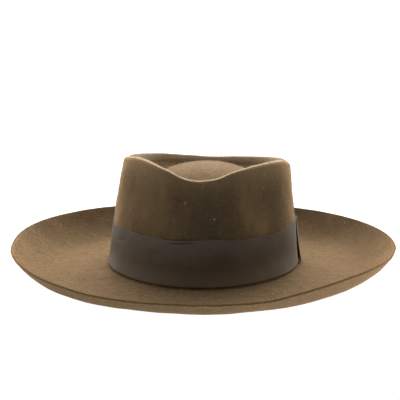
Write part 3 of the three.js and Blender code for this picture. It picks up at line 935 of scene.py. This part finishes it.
# Places in metres where light is painted on the felt: lit patches on the sides of the crown's front, by the
# pinches
LIT_SPOTS = table(
    "middle reach strength",
    ((0.055, -0.073, 0.059), (0.019, 0.040, 0.020), 0.30),
    ((0.056, -0.073, 0.058), (0.010, 0.040, 0.011), 0.30),
    ((0.047, -0.077, 0.069), (0.010, 0.040, 0.010), 0.18),
    ((0.044, -0.077, 0.080), (0.016, 0.040, 0.022), 0.20),
    ((-0.033, -0.083, 0.074), (0.018, 0.040, 0.036), 0.18),
    ((-0.072, -0.052, 0.050), (0.016, 0.040, 0.014), 0.10),
)
# Painted highlight on the far side of the dome, where it is lit from behind
DOME_HIGHLIGHT = {"middle": (0.002, 0.030, 0.104), "reach": (0.068, 0.072, 0.040), "strength": 0.55}

# A painted shadow line along a fold in the ribbon, in cloth coordinates of millimetres round the hat and up
# the ribbon
FOLD = {"at": 584.0, "height": 40.6, "slope": 0.083, "half_length": 17.0, "half_width": 1.0, "strength": 0.95}


def felt_material():
    """Brushed wool felt: mottled brown with a matted grain, a few pale fibres and a soft bloom, with painted
    shade and painted highlights where the light falls.
    """
    material, nodes = new_material("brushed_wool_felt")
    coordinates = nodes.add("ShaderNodeTexCoord")
    place = coordinates.outputs["Object"]
    sideways, depth, height = nodes.split(place)
    station = nodes.split(coordinates.outputs["UV"])[1]
    upright = nodes.grain(place, UPRIGHT)
    wall = nodes.band(station, WALL)
    rough = nodes.math("MAXIMUM", nodes.spread(station, *ROUGH_BRIM), nodes.spread(station, *ROUGH_TOP))
    rough = nodes.times(rough, nodes.spread(depth, *ROUGH_FRONT))
    dashes = nodes.blotch(nodes.grain(place, LENGTHWAYS), DASHES)
    gaps = nodes.blotch(nodes.grain(place, CROSSWAYS), GAPS)
    cells = nodes.add("ShaderNodeTexVoronoi", {"Vector": place, "Scale": LINT["scale"]})
    chance = nodes.add("ShaderNodeSeparateColor", {"Color": cells.outputs["Color"]}).outputs[0]
    lint = nodes.spread(cells.outputs["Distance"], *LINT["rises"], 0.0, LINT["strength"])
    lit_front = nodes.spread(depth, *HIGHLIGHT_FRONT)
    beside_dip = nodes.spread(nodes.math("ABSOLUTE", sideways), *BESIDE_DIP)
    uneven = nodes.blotch(place, UNEVEN_RIM)

    layers = [(nodes.blotch(place, mottle), FELT_DARK) for mottle in MOTTLES]
    layers += [
        # painted light on the crown's top
        (nodes.spread(height, *TOP_LIGHT_HEIGHT), FELT_DUST_AND_LIGHT),
        # painted highlight on the dome
        (nodes.spot(place, DOME_HIGHLIGHT), FELT_DUST_AND_LIGHT),
        # painted light inside the back of the rim
        (nodes.times(nodes.band(station, INSIDE_RIM_LIGHT), nodes.spread(depth, *PALE_BACK)), FELT_DUST_AND_LIGHT),
        # painted shade in the groove round the dome
        (nodes.band(station, GROOVE_SHADE), FELT_DARK),
        (nodes.times(nodes.blotch(upright, STREAKS), wall), FELT_PALE),
        (nodes.times(nodes.blotch(upright, SHADES), wall), FELT_DARK),
        # painted shade in the crevice at the ribbon's foot
        (nodes.band(station, RIBBON_FOOT_SHADE), FELT_SHADED),
    ]
    # painted shade
    layers += [(nodes.spot(place, spot), FELT_SHADED) for spot in SHADE_SPOTS]
    # painted light
    layers += [(nodes.spot(place, spot), FELT_PALE) for spot in LIT_SPOTS]
    layers += [
        (nodes.times(dashes, rough), FELT_PALE),
        (nodes.times(gaps, rough), FELT_DARK),
        (nodes.times(lint, nodes.math("GREATER_THAN", chance, LINT["rarer_than"])), FELT_DUST_AND_LIGHT),
        # painted light on the top of the wall, weaker at the middle of the front
        (nodes.times(nodes.band(station, WALL_TOP_HIGHLIGHT), nodes.times(lit_front, beside_dip)), FELT_PALE),
        # painted highlight along the crest of the rim
        (nodes.times(nodes.band(station, RIM_HIGHLIGHT_BAND), nodes.times(lit_front, uneven)), RIM_HIGHLIGHT_COLOUR),
        (nodes.band(station, CUT_FACE), FELT_CUT),
        # painted highlight on the upper corner of the cut edge
        (nodes.times(nodes.band(station, EDGE_HIGHLIGHT), nodes.spread(depth, *EDGE_FRONT)), FELT_PALE),
    ]
    fibres = nodes.times(nodes.noise(place, FIBRES), FIBRES_SHARE)
    relief = nodes.math("ADD", fibres, nodes.noise(place, MATTING))
    nodes.surface(nodes.coat(FELT_COLOUR, layers), FELT_SURFACE, {"Height": relief, **FELT_RELIEF})
    return material


def hair_material(name):
    """Wool hairs in tones from dark to pale, one for each hair."""
    material, nodes = new_material(name)
    dark, middle, pale = HAIR_TONES[name]
    tone = nodes.split(nodes.add("ShaderNodeTexCoord").outputs["UV"])[0]
    layers = [
        (nodes.spread(tone, 0.0, MIDDLE_TONE), middle),
        (nodes.spread(tone, MIDDLE_TONE, 1.0), pale),
    ]
    nodes.surface(nodes.coat(dark, layers), HAIR_SURFACE)
    return material


def ribbon_material():
    """Grosgrain: fine ribs across the ribbon's width, in dull grey-brown, with painted shade in the rib
    grooves and along a fold, and painted light at its foot.
    """
    material, nodes = new_material("grosgrain_ribbon")
    coordinates = nodes.add("ShaderNodeTexCoord")
    place = coordinates.outputs["Object"]
    height = nodes.split(place)[2]
    round_hat, up_ribbon, _ = nodes.split(coordinates.outputs["UV"])
    ribs = nodes.math("SINE", nodes.times(round_hat, 2 * math.pi / RIB_PITCH))
    along = nodes.math("SUBTRACT", round_hat, FOLD["at"])
    line = nodes.math("ADD", nodes.times(along, FOLD["slope"]), FOLD["height"])
    off_line = nodes.math("ABSOLUTE", nodes.math("SUBTRACT", up_ribbon, line))
    fold = nodes.spread(off_line, FOLD["half_width"], 0.0, 0.0, FOLD["strength"])
    within = nodes.spread(nodes.math("ABSOLUTE", along), FOLD["half_length"], FOLD["half_length"] / 3)
    layers = [
        (nodes.blotch(place, FADING), RIBBON_DARK),
        # painted shade in the rib grooves
        (nodes.spread(ribs, *RIB_GROOVES), RIBBON_DARK),
        # painted light at the ribbon's foot
        (nodes.spread(height, *BOUNCE_LIGHT_HEIGHT), RIBBON_BOUNCE_LIGHT),
        # painted shadow line along the fold
        (nodes.times(fold, within), RIBBON_FOLD_SHADOW),
    ]
    threads = nodes.times(nodes.noise(place, THREADS), THREADS_SHARE)
    relief = nodes.math("ADD", nodes.times(ribs, 1 - THREADS_SHARE), threads)
    nodes.surface(nodes.coat(RIBBON_COLOUR, layers), RIBBON_SURFACE, {"Height": relief, **RIBBON_RELIEF})
    return material


def thread_material():
    """Dark sewing thread."""
    material, nodes = new_material("sewing_thread")
    twist = nodes.noise(nodes.add("ShaderNodeTexCoord").outputs["Object"], TWIST)
    nodes.surface(nodes.coat(THREAD_DARK, [(twist, THREAD_PALE)]), THREAD_SURFACE)
    return material


def floor_material():
    """A pale table top lit from below: near the hat more on the right, far from it more on the left."""
    material, nodes = new_material("pale_floor")
    place = nodes.add("ShaderNodeTexCoord").outputs["Object"]
    away = nodes.add("ShaderNodeVectorMath", {0: place}, operation="LENGTH").outputs["Value"]
    reach = GLOW["slope_reach"]
    slope = nodes.spread(nodes.split(place)[0], -reach, reach, -reach, reach)
    glow = 0.0
    for zone, start, end in (("near", GLOW["to"], GLOW["from"]), ("far", GLOW["from"], GLOW["to"])):
        tilted = nodes.math("ADD", nodes.times(slope, GLOW[zone + "_rise"]), 1.0)
        share = nodes.spread(away, start, end, 0.0, GLOW[zone])
        glow = nodes.math("ADD", nodes.times(share, tilted), glow)
    seen = nodes.add("ShaderNodeLightPath").outputs["Is Camera Ray"]
    glow = nodes.math("MAXIMUM", glow, nodes.times(seen, FLOOR["seen_glow"]))
    top = nodes.add("ShaderNodeBsdfDiffuse", {"Color": (FLOOR["albedo"],) * 3 + (1,)})
    light = nodes.add("ShaderNodeEmission", {"Color": WHITE, "Strength": glow})
    both = nodes.add("ShaderNodeAddShader", {0: top.outputs[0], 1: light.outputs[0]})
    nodes.add("ShaderNodeOutputMaterial", {"Surface": both.outputs[0]})
    return material


def studio_floor():
    """A wide pale table top that the hat rests on, ending a little in front of it."""
    x, front, back = FLOOR["half_width"], -FLOOR["front"], FLOOR["back"]
    corners = [(-x, front, 0), (x, front, 0), (x, back, 0), (-x, back, 0)]
    mesh = bpy.data.meshes.new("studio_floor")
    mesh.from_pydata(corners, [], [(0, 1, 2, 3)])
    mesh.materials.append(floor_material())
    floor = bpy.data.objects.new("studio_floor", mesh)
    bpy.context.scene.collection.objects.link(floor)


def facing_of(azimuth, elevation):
    """The direction from the hat to a place seen at these degrees, azimuth 0 in front of it."""
    a, e = math.radians(azimuth), math.radians(elevation)
    return Vector((math.sin(a) * math.cos(e), -math.cos(a) * math.cos(e), math.sin(e)))


def studio_light():
    """A white surround, lit softly from behind and above, that looks plain white to the camera."""
    world = bpy.data.worlds.new("studio")
    bpy.context.scene.world = world
    world.use_nodes = True
    nodes = Nodes(world.node_tree)
    direction = nodes.add("ShaderNodeTexCoord").outputs["Generated"]
    total = 0.0
    for light in LIGHTS:
        towards = tuple(facing_of(light["azimuth"], light["elevation"]))
        dot = nodes.add("ShaderNodeVectorMath", {0: direction, 1: towards}, operation="DOT_PRODUCT")
        glow = nodes.math("POWER", nodes.math("MAXIMUM", dot.outputs["Value"], 0.0), light["focus"])
        total = nodes.math("ADD", nodes.times(glow, light["strength"]), total)
    lighting = nodes.add("ShaderNodeBackground", {"Color": WHITE, "Strength": total})
    plain = nodes.add("ShaderNodeBackground", {"Color": WHITE, "Strength": 1.0})
    seen = nodes.add("ShaderNodeLightPath").outputs["Is Camera Ray"]
    both = nodes.add("ShaderNodeMixShader", {0: seen, 1: lighting.outputs[0], 2: plain.outputs[0]})
    nodes.add("ShaderNodeOutputWorld", {"Surface": both.outputs[0]})


def studio_camera():
    """The camera at the photograph's angle, turned so that the hat falls where the photograph has it."""
    back = facing_of(CAMERA["azimuth"], CAMERA["elevation"])
    level = Vector((-back.y, back.x, 0)).normalized()
    upward = back.cross(level)
    roll = math.radians(CAMERA["roll"])
    right = level * math.cos(roll) + upward * math.sin(roll)
    up = upward * math.cos(roll) - level * math.sin(roll)
    target = Vector(CAMERA_TARGET)
    place = target + back * CAMERA["distance"]
    scale = CAMERA["distance"] / CAMERA["focal_pixels"]
    off_right = (TARGET_PIXEL[0] - PHOTO_WIDTH / 2) * scale
    off_down = (TARGET_PIXEL[1] - PHOTO_WIDTH / 2) * scale
    aim = target - right * off_right + up * off_down
    backward = (place - aim).normalized()
    side = up.cross(backward).normalized()
    upright = backward.cross(side)
    data = bpy.data.cameras.new("camera")
    data.sensor_width = SENSOR_WIDTH
    data.lens = CAMERA["focal_pixels"] / PHOTO_WIDTH * SENSOR_WIDTH
    data.clip_end = 100
    camera = bpy.data.objects.new("camera", data)
    turn = Matrix((side, upright, backward)).transposed()
    camera.matrix_world = Matrix.Translation(place * MM) @ turn.to_4x4()
    bpy.context.scene.collection.objects.link(camera)
    bpy.context.scene.camera = camera


studio_camera()
studio_light()
studio_floor()
bpy.context.scene.view_settings.view_transform = "Standard"

skin_rows, skin_stations = felt_skin()
felt_body(felt_material(), skin_rows, skin_stations)
wool = {name: hair_material(name) for name in HAIR_TONES}
for hairs in HAIRS:
    felt_hairs(hairs, wool[hairs["material"]], skin_rows, skin_stations)
ribbon = ribbon_material()
ribbon_band(ribbon)
bow_loops(ribbon)
bow_knot(ribbon)
tack_stitches(thread_material())
